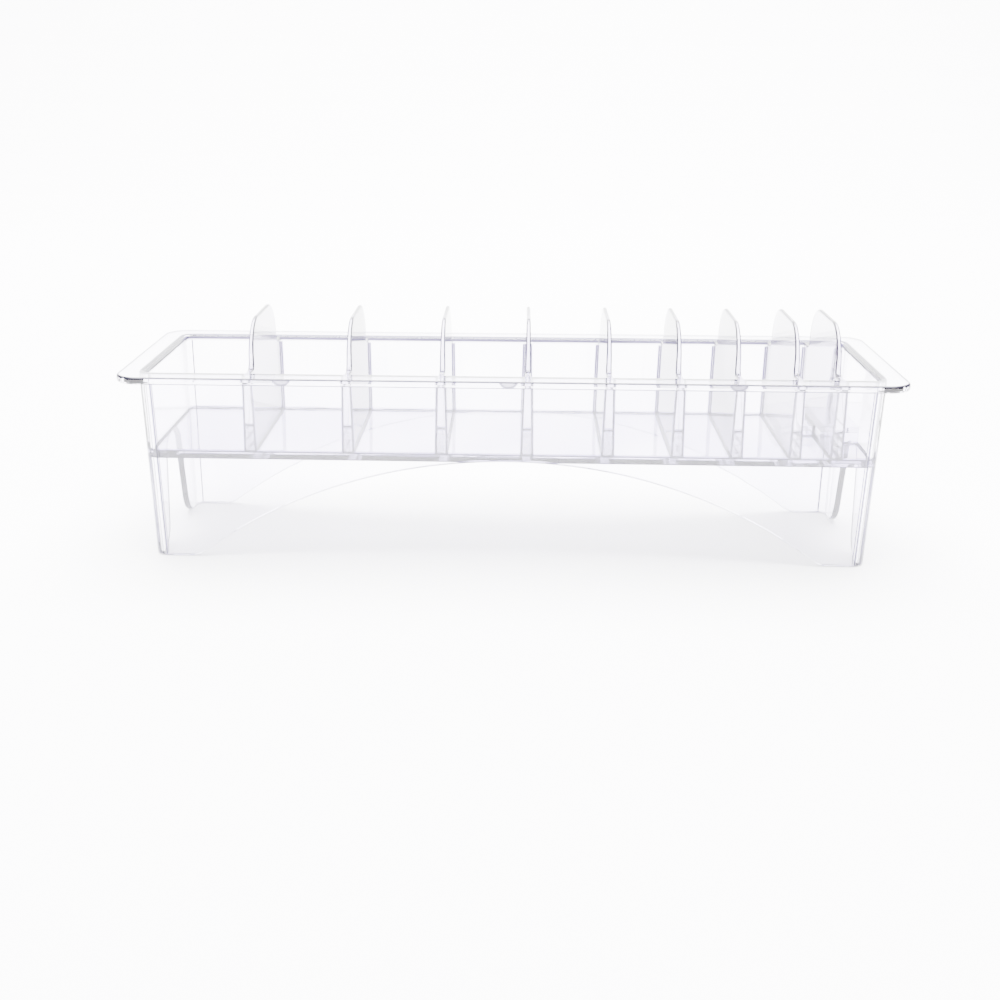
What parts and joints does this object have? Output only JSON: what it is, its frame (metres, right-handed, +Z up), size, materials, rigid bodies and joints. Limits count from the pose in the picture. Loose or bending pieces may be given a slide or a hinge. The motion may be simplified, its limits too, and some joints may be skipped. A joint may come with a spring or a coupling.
{
  "type": "clipper guard comb rack",
  "caption": "Clear plastic rack on four arched legs: a rimmed tray with upright round-cornered dividers that stores clipper guard combs on edge, by size.",
  "frame": {"origin": "under the middle of the rack, on the surface that it stands on", "axes": "+X along the rack from the widest slot to the narrowest, +Y from front to rear, +Z up"},
  "size_m": [0.225, 0.07, 0.0698],
  "materials": {
    "clear_plastic": "gloss"
  },
  "bodies": {
    "root": {"front_wall": "clear_plastic", "rear_wall": "clear_plastic", "left_end_wall": "clear_plastic", "right_end_wall": "clear_plastic", "tray_corner_front_left": "clear_plastic", "tray_corner_front_right": "clear_plastic", "tray_corner_rear_left": "clear_plastic", "tray_corner_rear_right": "clear_plastic", "floor": "clear_plastic", "divider_1": "clear_plastic", "divider_2": "clear_plastic", "divider_3": "clear_plastic", "divider_4": "clear_plastic", "divider_5": "clear_plastic", "divider_6": "clear_plastic", "divider_7": "clear_plastic", "divider_8": "clear_plastic", "divider_9": "clear_plastic", "raised_seat_9": "clear_plastic", "raised_seat_10": "clear_plastic", "leg_front_left": "clear_plastic", "leg_front_right": "clear_plastic", "leg_rear_left": "clear_plastic", "leg_rear_right": "clear_plastic"}
  },
  "joints": []
}
